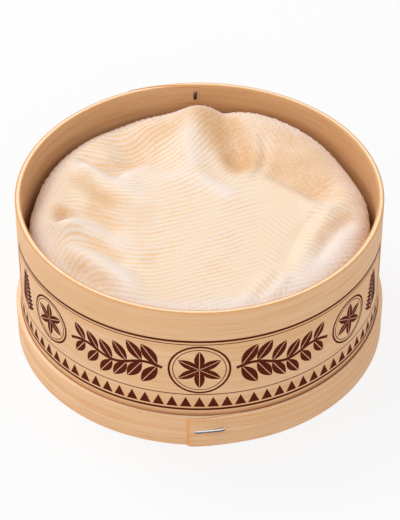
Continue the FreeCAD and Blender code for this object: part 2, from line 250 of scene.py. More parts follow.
def rib_fields(x, y):
    """Phases of the main ribs and of the turned ones, the share of the turned ones, and the strength.

    A turned phase is the distance across its ribs over their pitch. Where families lie over each
    other, the one with the strongest mask counts. Ribs fade where families meet, and break up into
    rows of knobs where a family is crossed.
    """
    uneven = 0.20 * ripple(x, y, 24, 3) + 0.06 * ripple(x, y, 9, 4)
    turned = np.zeros(x.shape)
    first = np.zeros(x.shape)
    second = np.zeros(x.shape)
    power = np.ones(x.shape)
    for direction, pitch, strong, crossed, paths in TURNED_RIBS:
        mask = patch(x, y, *paths)
        turn = math.radians(direction)
        across = (y * math.cos(turn) - x * math.sin(turn)) / pitch + uneven
        along = (x * math.cos(turn) + y * math.sin(turn)) / (KNOB_LENGTH * pitch) + 2 * uneven
        knobs = strong * (1 - crossed * (0.5 + 0.5 * np.cos(2 * np.pi * along)))
        turned = np.where(mask > first, across, turned)
        power = np.where(mask > first, knobs, power)
        second = np.maximum(second, np.minimum(mask, first))
        first = np.maximum(first, mask)
    share = smooth((first - 0.25) / 0.35)
    back_left = smooth((y - 22) / 14) * smooth(-(x - 6) / 8)
    strength = 0.74 + 0.3 * ripple(x, y, 17, 9) + 0.35 * back_left
    strength = strength * (1 - smooth((second - 0.15) / 0.3))
    strength = strength * (1 - 1.6 * share * (1 - share))
    strength = strength * (1 + (power - 1) * share) * (1 - 0.8 * patch(x, y, *RUBBED))
    return main_ribs(x, y, uneven), turned, share, np.clip(strength, 0, 1.2)


def groove(phase):
    """Narrow groove between round ribs: exp(2 (cos 2 pi phase - 1)), 1 in the groove, near 0 on the rib."""
    return np.exp(2 * (np.cos(2 * np.pi * phase) - 1))


# Where the white bloom lies thick, and where the ochre skin shows, in places also as painted shade: paths as
# above, and their heights.
BLOOM = [
    ((-0.13, -0.88), (0.38, -0.80), (0.72, -0.48), 4.4, 0.9),
    ((0.72, -0.48), (0.84, -0.32), (0.93, -0.16), 4.5),
    ((-0.13, -0.88), (-0.32, -0.84), (-0.50, -0.78), 3.0, 0.7),
    ((-0.44, 0.27), (-0.20, 0.31), (0.02, 0.27), 3.0, 0.25),
    ((0.02, 0.27), (0.10, 0.20), (0.19, 0.14), 2.4, 0.6),
    ((-0.76, 0.42), (-0.56, 0.30), (-0.34, 0.12), 3.0, 0.5),
    ((-0.80, -0.13), (-0.66, -0.14), (-0.44, -0.34), 3.0, 0.55),
    ((-0.72, -0.36), (-0.52, -0.50), (-0.37, -0.72), 3.0, 0.5),
    ((-0.47, 0.31), (-0.39, 0.37), (-0.32, 0.42), 1.8, 0.7),
    ((-0.06, 0.72), (-0.06, 0.58), (-0.02, 0.44), 3.0, 0.4),
]
OCHRE_AND_SHADE = [
    ((0.15, 0.84), (0.21, 0.62), (0.24, 0.44), 4.6, 1.5),
    ((0.20, 0.66), (0.23, 0.54), (0.24, 0.44), 3.4, 1.2),
    # partly painted shade: the next two paths darken the slope at the back right, and the third the top of
    # the ridge, where these lie in shade
    ((0.46, 0.42), (0.62, 0.30), (0.80, 0.12), 5.5, 0.6),
    ((0.40, 0.76), (0.56, 0.58), (0.74, 0.38), 7.5, 0.5),
    ((0.00, 0.92), (0.04, 0.80), (0.08, 0.64), 4.0, 0.6),
    ((-0.50, 0.60), (-0.30, 0.68), (-0.10, 0.80), 5.0, 0.35),
    ((-0.62, 0.40), (-0.48, 0.44), (-0.26, 0.50), 4.0, 0.40),
    ((-0.72, 0.28), (-0.62, 0.16), (-0.50, 0.04), 3.4, 0.6),
    ((-0.82, 0.02), (-0.80, -0.03), (-0.76, -0.04), 3.0, 1.0),
    ((-0.68, 0.04), (-0.56, -0.06), (-0.46, -0.14), 3.0, 0.6),
    ((-0.66, -0.26), (-0.54, -0.34), (-0.44, -0.46), 3.0, 0.30),
    ((-0.74, -0.44), (-0.62, -0.57), (-0.46, -0.72), 4.4, 0.35),
    ((-0.40, 0.10), (-0.36, -0.20), (-0.30, -0.52), 6.0, 0.20),
    ((0.88, -0.06), (0.78, -0.16), (0.70, -0.30), 2.4, 0.5),
]


def rind_top(x, y):
    """Height of the top: a flat middle, a bank round it and the folds.

    The bank rises smoothly towards the edge. It is highest at the back and gone at the front, as
    (1 + sin of the bearing) / 2.
    """
    bank_start = CHEESE_RADIUS - BANK_INSET - BANK_RUN
    rise = smooth((np.hypot(x, y) - bank_start) / BANK_RUN)
    share = (1 + np.sin(np.arctan2(y, x))) / 2
    return RIM - MIDDLE_BELOW_RIM + BANK_RISE * rise * share + folds_at(x, y, FOLDS)


# The rind's grid: its quads to the right and to the back, the shares of the way from its middle to
# its edge at which the top and the shoulder end, and the share of the side at which the foot starts.
ACROSS = 280
DEEP = 350
TOP_SHARE = 0.86
SHOULDER_SHARE = 0.95
FOOT_SHARE = 0.85
# The nap: the height and the two lengths of its ripples, and its share on the top.
NAP = 0.16
NAP_LENGTHS = (2.0, 1.4)
NAP_ON_TOP = 0.12


def rind(material):
    """The whole rind as one grid laid over the cheese, from the middle of the top to the foot.

    A square of u, v from -1 to 1 becomes a disc by x = u sqrt(1 - v^2 / 2), y = v sqrt(1 - u^2 / 2).
    Its radius s then runs outwards over the top, down a quarter of an ellipse at the shoulder, and
    down the side to a quarter circle at the foot. The ribs lower the surface by their grooves, and a fine
    nap of two ripples makes it uneven, most of all at the edge.
    """
    v, u = np.meshgrid(np.linspace(-1, 1, DEEP + 1), np.linspace(-1, 1, ACROSS + 1), indexing="ij")
    disc_x = u * np.sqrt(1 - v * v / 2)
    disc_y = v * np.sqrt(1 - u * u / 2)
    s = np.hypot(disc_x, disc_y)
    bearing = np.arctan2(disc_y, disc_x)
    shoulder = np.clip((s - TOP_SHARE) / (SHOULDER_SHARE - TOP_SHARE), 0, 1)
    side = np.clip((s - SHOULDER_SHARE) / (1 - SHOULDER_SHARE), 0, 1)
    turn = shoulder * np.pi / 2
    flat = CHEESE_RADIUS - SHOULDER_RUN
    r = np.minimum(s / TOP_SHARE, 1) * flat + SHOULDER_RUN * np.sin(turn)
    x = r * np.cos(bearing)
    y = r * np.sin(bearing)
    z = rind_top(x, y) - SHOULDER_DROP * (1 - np.cos(turn))
    foot = np.clip((side - FOOT_SHARE) / (1 - FOOT_SHARE), 0, 1) * np.pi / 2
    down = np.clip(side / FOOT_SHARE, 0, 1)
    z = z + (CHEESE_FOOT + FOOT_ROUND - z) * down - FOOT_ROUND * np.sin(foot)
    r = r - FOOT_ROUND * (1 - np.cos(foot))
    main, turned, share, strength = rib_fields(x, y)
    bloom = np.maximum(patch(x, y, *BLOOM), smooth(shoulder / 0.8))
    ochre = patch(x, y, *OCHRE_AND_SHADE)
    # bloom and deep ochre hide the ribs, which end at the side
    deep_ochre = np.clip(ochre - 0.6, 0, 0.4) / 0.4
    strength = strength * (1 - 0.6 * bloom) * (1 - 0.5 * deep_ochre) * (1 - side)
    ribs = groove(main) * (1 - share) + groove(turned) * share
    nap = NAP * ripple(x, y, NAP_LENGTHS[0], 11) + NAP * ripple(x, y, NAP_LENGTHS[1], 12)
    nap = nap * (NAP_ON_TOP + (1 - NAP_ON_TOP) * smooth((s - 0.82) / 0.10))
    z = z - RIB_DEPTH * strength * ribs + nap * (1 - down)
    r = r + nap * shoulder * (1 - down)
    points = around(r, bearing, z).reshape(-1, 3)
    # the base is a fan from the grid's outer ring to a point in its middle
    edge = np.arange(points.shape[0]).reshape(DEEP + 1, ACROSS + 1)
    ring = np.concatenate([edge[0, :-1], edge[:-1, -1], edge[-1, :0:-1], edge[:0:-1, 0]])
    centre = len(points)
    points = np.vstack([points, [[0, 0, CHEESE_FOOT]]])
    base = np.stack([np.roll(ring, -1), ring, np.full(len(ring), centre)], axis=-1)
    piece = mesh_piece("rind", points, [grid_faces(DEEP + 1, ACROSS + 1), base], material)
    fields = {
        "ribs": main,
        "turned_ribs": turned,
        "turned_share": share,
        "rib_strength": strength,
        "bloom": bloom,
        "ochre": ochre,
    }
    for name, values in fields.items():
        attribute(piece, name, np.append(values.ravel(), 0))
    return piece


# ---------------------------------------------------------------- hoops

# The tall hoop's thickness, and how far the end of its lap stands up.
HOOP_WALL = 2.5
HOOP_STEP = 0.45
# The rounding of a strip's corners and its points, the gap left in a lap, the thickness of a strip's
# thin end, the length of the slanting cut at its other end and the share of the thickness left
# there, and the steps of a hoop round its turn.
CORNER = 0.5
CORNER_POINTS = 5
CORNER_SAWN = 0.6
LAP_GAP = 0.02
FEATHER = 0.08
SLANT = 1.4
SLANT_STEPS = 7
SLANT_END = 0.08
HOOP_STEPS = 1000
# How far the top edge sags and over what length, and how far its sawn rim is frayed.
SAG = 0.10
SAG_LENGTH = 60
FRAY = 0.06
FRAY_LENGTH = 1.6


def strip_section():
    """Outline of a rounded rectangle, as a share across the strip, a share up it, and corner offsets.

    A point lies at share * size + offset * corner radius. The outline runs up the outer face, over
    the top, down the inner face and back under the foot. The last array is 0 on the faces and
    rises to 1 on the middle of the sawn edges.
    """
    bend = np.linspace(0, np.pi / 2, CORNER_POINTS)
    rise = np.linspace(0, CORNER_SAWN, CORNER_POINTS)
    along_face = np.linspace(0, 1, 9)[1:-1]
    along_edge = np.linspace(0, 1, 7)[1:-1]
    parts = []
    for turn in range(4):
        face = turn % 2 == 0
        run = along_face if face else along_edge
        straight = np.stack([np.ones_like(run), run, np.zeros_like(run), 1 - 2 * run])
        arc = np.stack([np.ones_like(bend), np.ones_like(bend), np.cos(bend) - 1, np.sin(bend) - 1])
        quarter = np.hstack([straight, arc])
        for _ in range(turn):
            quarter = np.stack([1 - quarter[1], quarter[0], -quarter[3], quarter[2]])
        level = np.zeros(len(run)) if face else CORNER_SAWN + (1 - CORNER_SAWN) * np.sin(np.pi * run)
        sawn = np.concatenate([level, rise if face else rise[::-1]])
        parts.append(np.vstack([quarter, sawn]))
    return np.hstack(parts)


def hoop(name, near, way, wall, step, lap, start, low, high, end_sawn, material):
    """A thin board bent into a hoop, its one end lapped over the other, as a section carried round.

    The board starts at the bearing start, in degrees, and runs once round and on by the lap. Its near
    face has the radius near, its far face lies a wall further, outwards for way 1 and inwards for -1.
    lift = 1 - smooth(turned / lap) raises the start by the wall, clear of the end that passes under
    it, and thins it so that it stands up by the step. pressed is the same over the last lap and tapers
    the end to a feather. end_sawn is how far the slanting cut counts as sawn.
    """
    slant = math.degrees(SLANT / near)
    turned = np.linspace(slant, 360 + lap, HOOP_STEPS)[1:]
    turned = np.concatenate([np.linspace(0, slant, SLANT_STEPS), turned])
    lift = 1 - smooth(turned / lap)
    pressed = 1 - smooth((turned - 360) / lap)
    face_near = np.where(turned < lap, (wall + LAP_GAP) * lift, 0)
    face_far = np.where(turned < lap, wall + step * lift, wall)
    face_far = np.where(turned > 360, np.maximum(wall * pressed - LAP_GAP, FEATHER), face_far)
    bearing = np.radians(start + turned)[:, None]
    sag = SAG * (1 + ripple(np.cos(bearing) * near, np.sin(bearing) * near, SAG_LENGTH, 5))
    a, b, across, up, sawn = strip_section()
    # the end that shows is cut slanting
    cut = smooth(turned / slant) * (1 - SLANT_END) + SLANT_END
    face_far = face_near + (face_far - face_near) * cut
    corner = np.minimum(CORNER, 0.45 * (face_far - face_near))[:, None]
    depth = face_near[:, None] + (face_far - face_near)[:, None] * a + corner * across
    top = high - np.abs(sag)
    z = low + (top - low) * b + corner * up
    # the sawn rim on top is uneven
    fray = FRAY * ripple(near * bearing * np.ones_like(b), depth * 4, FRAY_LENGTH, 6) * sawn * (b > 0.5)
    r = near + way * depth
    points = around(r, bearing * np.ones_like(b), z - np.abs(fray))
    rows, columns = points.shape[:2]
    faces = [grid_faces(rows, columns, close_columns=True)]
    # each end is closed by a fan from a point in its middle
    ring = np.arange(columns)
    count = rows * columns
    for edge, centre, side in ((ring, count, -1), (ring + count - columns, count + 1, 1)):
        faces.append(np.stack([edge, np.roll(edge, side), np.full(columns, centre)], axis=-1))
    if way > 0:
        faces = [f[:, ::-1] for f in faces]
    places = np.vstack([points.reshape(-1, 3), points[0].mean(0), points[-1].mean(0)])
    piece = mesh_piece(name, places, faces, material)
    grain = np.stack([near * bearing * np.ones_like(z), z, r], axis=-1).reshape(-1, 3)
    attribute(piece, "grain", np.vstack([grain, grain[0], grain[-1]]) * MM)
    sawn = np.maximum(sawn, (turned < slant)[:, None] * end_sawn)
    attribute(piece, "sawn", np.append(sawn.ravel(), [1, 1]))
    return piece


# ---------------------------------------------------------------- staples

# The points round a wire, and the power that squares its section: 1 is an ellipse, 0 a rectangle.
WIRE_POINTS = 16
WIRE_POWER = 0.6


def wire(name, path, frame_at, width, thick, material):
    """A flat wire with round edges: a superellipse section carried along a path.

    path has, for each step, the distance along the staple and the height off the wood. frame_at
    turns distance along, distance aside and height off the wood into x, y, z. The attribute crown
    is 1 on one narrow edge of the wire and -1 on the other.
    """
    along, off = path
    d_along, d_off = np.gradient(along), np.gradient(off)
    length = np.hypot(d_along, d_off)
    turn = np.linspace(0, 2 * np.pi, WIRE_POINTS, endpoint=False)
    aside = width / 2 * np.sign(np.cos(turn)) * np.abs(np.cos(turn)) ** WIRE_POWER
    deep = thick / 2 * np.sign(np.sin(turn)) * np.abs(np.sin(turn)) ** WIRE_POWER
    s = along[:, None] - deep * (d_off / length)[:, None]
    h = off[:, None] + deep * (d_along / length)[:, None]
    points = frame_at(s, np.broadcast_to(aside, s.shape), h)
    rows, columns = points.shape[:2]
    ring = np.arange(columns)
    caps = [ring[None, ::-1], ring[None] + (rows - 1) * columns]
    faces = [grid_faces(rows, columns, close_columns=True), *caps]
    piece = mesh_piece(name, points.reshape(-1, 3), faces, material)
    attribute(piece, "crown", np.tile(np.cos(turn), rows))
    return piece


def bent_staple(crown, leg, bend):
    """Path of a staple: up one leg, round a bend, along the crown, round a bend and down the other.

    The crown is this long over both bends, the legs reach this deep into the wood, and the bends
    have this radius. Its right half mirrors its left half.
    """
    turn = np.linspace(0, np.pi / 2, 7)
    half = crown / 2
    straight = np.linspace(-half + bend, 0, 8)[1:-1]
    along = np.concatenate([[-half, -half], -half + bend * (1 - np.cos(turn)), straight])
    off = np.concatenate([[-leg, -1.5 * bend], bend * np.sin(turn) - bend, np.zeros(len(straight))])
    return np.concatenate([along, -along[::-1]]), np.concatenate([off, off[::-1]])


def clenched_tip(way):
    """Path of a staple's tip, pressed over: out of the wood along a sine, then slowly back towards it."""
    t = np.linspace(0, 1, 14)
    along = way * (3.2 - 0.7 * (1 - (1 - t) ** 2) ** 0.5 - 4.2 * t ** 1.3)
    off = -1.6 + 2.0 * np.sin(np.minimum(t * 2.2, 1) * np.pi / 2) - 0.25 * t
    return along, off


def on_hoop(radius, bearing, height, tilt, way):
    """Maps a staple's distances onto the face of a hoop, turned by tilt from level, outwards or inwards."""
    slope = math.radians(tilt)

    def place(along, aside, off):
        """Places for distances along the staple, across it and off the wood."""
        level = along * math.cos(slope) - aside * math.sin(slope)
        up = along * math.sin(slope) + aside * math.cos(slope)
        return around(radius + way * off, math.radians(bearing) + way * level / radius, height + up)

    return place


# ---------------------------------------------------------------- printed frieze

# The face of the hoop that is printed, the height of the ink on it and how deep its back is sunk.
PRINT_RADIUS = 77.0
INK_PROUD = 0.035
INK_SUNK = 0.05
# The bearing of the front in degrees, the height of the frieze's middle, half its length along the
# hoop, and the widths of its thick and thin lines.
FRONT = 270.0
FRIEZE_MIDDLE = 40.4
FRIEZE_END = 104
BORDER = 1.1
HAIRLINE = 0.4


def ribbon(x, y, low, high):
    """One printed mark in the unrolled plane: the area from low to high beside the line x, y."""
    dx, dy = np.gradient(x), np.gradient(y)
    length = np.hypot(dx, dy) + 1e-9
    nx, ny = -dy / length, dx / length
    low, high = np.broadcast_to(low, x.shape), np.broadcast_to(high, x.shape)
    return np.stack([x + nx * low, y + ny * low, x + nx * high, y + ny * high], axis=-1)


def leaf(x, y, length, turn, width, vein=0.35):
    """A pointed leaf with a bare vein: two halves whose width follows sin(pi t)^0.8."""
    t = np.linspace(0, 1, 15)
    px = x + length * t * math.cos(turn)
    py = y + length * t * math.sin(turn)
    side = width / 2 * np.sin(np.pi * t) ** 0.8
    gap = np.minimum(vein / 2, side)
    return [ribbon(px, py, gap, np.maximum(side, gap)), ribbon(px, py, -np.maximum(side, gap), -gap)]


def circle(x, y, radius, width):
    """A printed ring."""
    t = np.linspace(0, 2 * np.pi, 41)
    return [ribbon(x + radius * np.cos(t), y + radius * np.sin(t), -width / 2, width / 2)]


def rosette(x, y, radius):
    """The six-petalled flower that compasses draw, in two rings."""
    marks = circle(x, y, radius, 0.9) + circle(x, y, radius * 0.87, 0.35)
    for k in range(6):
        turn = math.pi / 6 + k * math.pi / 3
        marks += leaf(x, y, radius * 0.8, turn, radius * 0.34, 0.3)
    return marks


def line(x0, y0, x1, y1, width):
    """A straight printed line."""
    count = max(3, math.ceil(math.hypot(x1 - x0, y1 - y0) / 3))
    return [ribbon(np.linspace(x0, x1, count), np.linspace(y0, y1, count), -width / 2, width / 2)]


def spray(side):
    """A leafy spray that waves away from the middle: a stem, and six pairs of leaves that grow smaller."""

    def stem(t):
        """Place on the stem at the share t of its length: one and a half waves of a sine."""
        return side * (15 + 42 * t), FRIEZE_MIDDLE + 1.8 * np.sin(2 * np.pi * t * 1.5)

    marks = [ribbon(*stem(np.linspace(0, 1, 40)), -0.7, 0.7)]
    for k in range(6):
        x, y = stem(0.05 + 0.155 * k)
        for up in (-1, 1):
            turn = up * math.radians(56)
            turn = turn if side > 0 else math.pi - turn
            marks += leaf(x, y + up * 0.4, 11.8 - 0.6 * k, turn, 5.6 - 0.25 * k)
    return marks


def sprig(x):
    """An upright sprig of spruce: a stem and nine pairs of needles that grow shorter."""
    marks = line(x, 29.5, x, 52, 0.7)
    for k in range(9):
        for out in (-1, 1):
            turn = math.pi / 2 - out * math.radians(58)
            marks += leaf(x, 31.0 + 2.15 * k, 8.0 - 0.6 * k, turn, 1.8, 0.0)
    return marks


def frieze():
    """All printed marks: three rosettes and leaf sprays between a border of lines and a row of peaks."""
    marks = rosette(0, FRIEZE_MIDDLE, 12.4)
    for side in (-1, 1):
        marks += spray(side) + rosette(side * 71, FRIEZE_MIDDLE, 10.6) + sprig(side * 92)
    for z, width in ((55.6, BORDER), (54.0, HAIRLINE), (26.9, HAIRLINE), (18.6, BORDER)):
        marks += line(-FRIEZE_END, z, FRIEZE_END, z, width)
    for side in (-1, 1):
        marks += line(side * FRIEZE_END, 18.05, side * FRIEZE_END, 56.15, BORDER)
    t = np.linspace(-1, 1, 5)
    for k in range(-18, 19):
        marks += [ribbon(k * 5.6 + 2.4 * t, np.full(5, 20.0), np.zeros(5), 5.4 * (1 - np.abs(t)))]
    return marks


def print_on_hoop(marks, material):
    """Lays the marks round the hoop, as thin closed ribbons whose back is sunk in the wood."""
    r = PRINT_RADIUS + np.array([-INK_SUNK, INK_PROUD, INK_PROUD, -INK_SUNK])
    points, faces, first = [], [], 0
    for mark in marks:
        rows = len(mark)
        bearing = math.radians(FRONT) + mark[:, [0, 0, 2, 2]] / PRINT_RADIUS
        points.append(around(r, bearing, mark[:, [1, 1, 3, 3]]).reshape(-1, 3))
        faces.append(grid_faces(rows, 4, close_columns=True, first=first)[:, ::-1])
        faces.append(first + np.array([[0, 1, 2, 3]]))
        faces.append(first + (rows - 1) * 4 + np.array([[3, 2, 1, 0]]))
        first += rows * 4
    return mesh_piece("printed_frieze", np.vstack(points), faces, material, rounded=False)


# ---------------------------------------------------------------- materials

def colour(text):
    """Linear red, green, blue, alpha of an sRGB hex value."""
    parts = [int(text[i:i + 2], 16) / 255 for i in (0, 2, 4)]
    return [p / 12.92 if p <= 0.04045 else ((p + 0.055) / 1.055) ** 2.4 for p in parts] + [1.0]


def add(tree, kind, inputs=None, out=0, **settings):
    """Adds a node and gives its output out, by name or place.

    inputs are sockets or values by the input's name or place, and settings are the node's properties.
    """
    made = tree.nodes.new(kind)
    for name, value in settings.items():
        setattr(made, name, value)
    for name, value in (inputs or {}).items():
        if isinstance(value, bpy.types.NodeSocket):
            tree.links.new(value, made.inputs[name])
        else:
            made.inputs[name].default_value = value
    return made.outputs[out]


# Inputs by place: Map Range has its value at 0, the range it comes from at 1 and 2 and the range it
# goes to at 3 and 4. Mix has its share at 0, and its numbers at 2 and 3 or its colours at 6 and 7.
COLOURS = {"out": 2, "data_type": "RGBA"}


def material(name, values):
    """A new material with its node tree and its Principled shader, whose sockets get these values."""
    made = bpy.data.materials.new(name)
    made.use_nodes = True
    shader = made.node_tree.nodes["Principled BSDF"]
    for socket, value in values.items():
        shader.inputs[socket].default_value = value
    return made, made.node_tree, shader


def washed_rind():
    """Washed rind of a soft cheese: ochre skin in the furrows, a pale velvety bloom on all that stands up,
    and painted shade in ochre on some slopes.

    The bloom is powdery in spots of 20 and of 0.8 mm. Where the skin is ochre, it stands in tufts of
    1.7 mm. The down is finer than shows, so its bump is drawn two thirds of a millimetre coarse.
    """
    made, tree, shader = material("washed_rind", {
        "Roughness": 0.75,
        "Specular IOR Level": 0.25,
        "Subsurface Weight": 0.12,
        "Subsurface Radius": (1.0, 0.6, 0.35),
        "Subsurface Scale": 2 * MM,
        "Sheen Weight": 0.22,
        "Sheen Roughness": 0.45,
        "Sheen Tint": colour("F6ECEA"),
    })
    place = add(tree, "ShaderNodeTexCoord", out="Object")
    names = ("ribs", "turned_ribs", "turned_share", "rib_strength", "bloom", "ochre")
    fields = [add(tree, "ShaderNodeAttribute", out="Fac", attribute_name=name) for name in names]
    main, turned, share, strength, bloom, ochre = fields

    def groove_of(phase):
        """1 in the groove and 0 on the rib beside it, from the cosine of the phase."""
        wave = add(tree, "ShaderNodeMath", {0: phase, 1: 2 * math.pi}, operation="MULTIPLY")
        cosine = add(tree, "ShaderNodeMath", {0: wave}, operation="COSINE")
        steps = {0: cosine, 1: -0.8, 2: 1.0}
        return add(tree, "ShaderNodeMapRange", steps, interpolation_type="SMOOTHSTEP")

    def clouds(size, least, most, low=0.35, high=0.65):
        """Noise with spots of this size in millimetres: low to high becomes least to most."""
        noise = add(tree, "ShaderNodeTexNoise", {"Vector": place, "Scale": 1 / (size * MM), "Detail": 3.0})
        return add(tree, "ShaderNodeMapRange", {0: noise, 1: low, 2: high, 3: least, 4: most})

    grooves = add(tree, "ShaderNodeMix", {0: share, 2: groove_of(main), 3: groove_of(turned)})
    marked = add(tree, "ShaderNodeMath", {0: grooves, 1: strength}, operation="MULTIPLY")
    faint = clouds(1.1, 0.4, 1.0, 0.3, 0.62)
    stripes = add(tree, "ShaderNodeMath", {0: marked, 1: faint}, operation="MULTIPLY")
    spots = clouds(14, -0.12, 0.18)
    warm = add(tree, "ShaderNodeMath", {0: ochre, 1: spots}, operation="ADD", use_clamp=True)
    bare = add(tree, "ShaderNodeMapRange", {0: warm, 1: 0.2, 2: 1.0})
    powder = {0: clouds(20, -0.16, 0.18), 1: clouds(0.8, -0.16, 0.22)}
    powder = add(tree, "ShaderNodeMath", powder, operation="ADD")
    white = add(tree, "ShaderNodeMath", {0: bloom, 1: powder}, operation="ADD", use_clamp=True)
    cells = {"Vector": place, "Scale": 1 / (1.7 * MM), "Randomness": 0.9}
    cells = add(tree, "ShaderNodeTexVoronoi", cells, "Distance")
    tufts = add(tree, "ShaderNodeMapRange", {0: cells, 1: 0.1, 2: 0.65, 3: 0.55, 4: 0.1})
    crest = add(tree, "ShaderNodeMix", {0: strength, 6: colour("FCE1C4"), 7: colour("FAE7D6")}, **COLOURS)
    skin = add(tree, "ShaderNodeMix", {0: tufts, 6: colour("DFAE78"), 7: colour("ECCFB3")}, **COLOURS)
    skin = add(tree, "ShaderNodeMix", {0: bare, 6: crest, 7: skin}, **COLOURS)
    skin = add(tree, "ShaderNodeMix", {0: white, 6: skin, 7: colour("FCEFE8")}, **COLOURS)
    furrow = add(tree, "ShaderNodeMix", {0: warm, 6: colour("FAD29E"), 7: colour("F1B878")}, **COLOURS)
    furrow = add(tree, "ShaderNodeMix", {0: white, 6: furrow, 7: colour("F6D4B4")}, **COLOURS)
    skin = add(tree, "ShaderNodeMix", {0: stripes, 6: skin, 7: furrow}, **COLOURS)
    tree.links.new(skin, shader.inputs["Base Color"])
    down = add(tree, "ShaderNodeTexNoise", {"Vector": place, "Scale": 1 / (2 / 3 * MM), "Detail": 2.0})
    height = add(tree, "ShaderNodeMath", {0: down, 1: marked}, operation="SUBTRACT")
    bump = add(tree, "ShaderNodeBump", {"Height": height, "Distance": 0.25 * MM, "Strength": 0.45})
    tree.links.new(bump, shader.inputs["Normal"])
    return made


def streaks(tree, place, length, breadth, detail):
    """Noise in streaks along X, of this length and breadth in millimetres."""
    scale = [1 / (size * MM) for size in (length, breadth, breadth)]
    stretched = add(tree, "ShaderNodeMapping", {"Vector": place, "Scale": scale})
    return add(tree, "ShaderNodeTexNoise", {"Vector": stretched, "Scale": 1.0, "Detail": detail})


def peeled_spruce(name, tint, rim_tint, flat_from, shaded_within=0.0, shaded_to=0.0):
    """Spruce peeled along the grain into a thin board: close fibres lengthwise, sawn rims, darker corners.

    tint is the wood's pale, middle and dark colour. rim_tint is the pale and the dark colour of a sawn
    rim and the colour of its corners, and the rim begins where the attribute sawn is over flat_from.
    The last two arguments are a radius and a height, in millimetres. Within the radius the face is darker and
    browner: painted shade inside the box. Up to the height the wood darkens, most on the right: painted shade
    just above the joint below.
    """
    made, tree, shader = material(name, {"Roughness": 0.58, "Specular IOR Level": 0.35})
    grain = add(tree, "ShaderNodeAttribute", out="Vector", attribute_name="grain")
    sawn = add(tree, "ShaderNodeAttribute", out="Fac", attribute_name="sawn")
    pale, mid, dark = [colour(text) for text in tint]
    rim_pale, rim_dark, edge = [colour(text) for text in rim_tint]
    # growth rings, single fibres and cloudy patches along the grain
    fine = streaks(tree, grain, 28, 0.55, 2.0)
    rings = add(tree, "ShaderNodeMapRange", {0: streaks(tree, grain, 160, 2.6, 2.0), 1: 0.38, 2: 0.64})
    body = add(tree, "ShaderNodeMix", {0: rings, 6: pale, 7: mid}, **COLOURS)
    fibres = add(tree, "ShaderNodeMapRange", {0: fine, 1: 0.52, 2: 0.74, 3: 0.0, 4: 0.75})
    body = add(tree, "ShaderNodeMix", {0: fibres, 6: body, 7: dark}, **COLOURS)
    patches = {0: streaks(tree, grain, 60, 14, 2.0), 1: 0.45, 2: 0.75, 3: 0.0, 4: 0.35}
    patches = add(tree, "ShaderNodeMapRange", patches)
    body = add(tree, "ShaderNodeMix", {0: patches, 6: body, 7: mid}, **COLOURS)
    # painted shade on the inner face: the inside of the box is darker and browner
    radius = add(tree, "ShaderNodeSeparateXYZ", {0: grain}, "Z")
    inside = add(tree, "ShaderNodeMath", {0: radius, 1: shaded_within * MM}, operation="LESS_THAN")
    inner_shade = add(tree, "ShaderNodeMath", {0: inside, 1: 0.8}, operation="MULTIPLY")
    body = {0: inner_shade, 6: body, 7: colour("E2DACC")}
    body = add(tree, "ShaderNodeMix", body, blend_type="MULTIPLY", **COLOURS)
    # painted shade at the foot: darker just above the joint below, most on the right
    height = add(tree, "ShaderNodeSeparateXYZ", {0: grain}, "Y")
    low = {0: height, 1: (shaded_to - 2.2) * MM, 2: shaded_to * MM, 3: 1.0, 4: 0.0}
    low = add(tree, "ShaderNodeMapRange", low)
    place = add(tree, "ShaderNodeTexCoord", out="Object")
    right = add(tree, "ShaderNodeSeparateXYZ", {0: place}, "X")
    share = add(tree, "ShaderNodeMapRange", {0: right, 1: -60 * MM, 2: 60 * MM, 3: 0.25, 4: 0.8})
    foot_shade = add(tree, "ShaderNodeMath", {0: low, 1: share}, operation="MULTIPLY")
    body = {0: foot_shade, 6: body, 7: colour("8A4A22")}
    body = add(tree, "ShaderNodeMix", body, blend_type="MULTIPLY", **COLOURS)
    # the sawn rims
    ends = streaks(tree, grain, 1.4, 0.5, 2.0)
    torn = add(tree, "ShaderNodeMapRange", {0: ends, 1: 0.45, 2: 0.75})
    rim = add(tree, "ShaderNodeMix", {0: torn, 6: rim_pale, 7: rim_dark}, **COLOURS)
    corner = add(tree, "ShaderNodeMapRange", {0: sawn, 1: 0.05, 2: 0.4})
    flat = add(tree, "ShaderNodeMapRange", {0: sawn, 1: flat_from, 2: flat_from + 0.15})
    skin = add(tree, "ShaderNodeMix", {0: corner, 6: body, 7: edge}, **COLOURS)
    skin = add(tree, "ShaderNodeMix", {0: flat, 6: skin, 7: rim}, **COLOURS)
    tree.links.new(skin, shader.inputs["Base Color"])
    rough = add(tree, "ShaderNodeMix", {0: sawn, 2: fine, 3: ends})
    bump = add(tree, "ShaderNodeBump", {"Height": rough, "Distance": 0.12 * MM, "Strength": 0.5})
    tree.links.new(bump, shader.inputs["Normal"])
    return made


def sawn_board():
    """Sawn and planed spruce board: straight growth rings along X, pale early wood and darker late wood."""
    made, tree, shader = material("sawn_spruce", {"Roughness": 0.62})
    place = add(tree, "ShaderNodeTexCoord", out="Object")
    rings = add(tree, "ShaderNodeMapRange", {0: streaks(tree, place, 170, 3.2, 3.0), 1: 0.4, 2: 0.62})
    fine = streaks(tree, place, 22, 0.5, 3.0)
    fibres = add(tree, "ShaderNodeMapRange", {0: fine, 1: 0.5, 2: 0.75, 3: 0.0, 4: 0.6})
    body = add(tree, "ShaderNodeMix", {0: rings, 6: colour("EFCB9C"), 7: colour("E0AE74")}, **COLOURS)
    body = add(tree, "ShaderNodeMix", {0: fibres, 6: body, 7: colour("C98F54")}, **COLOURS)
    tree.links.new(body, shader.inputs["Base Color"])
    bump = add(tree, "ShaderNodeBump", {"Height": fine, "Distance": 0.12 * MM, "Strength": 0.5})
    tree.links.new(bump, shader.inputs["Normal"])
    return made


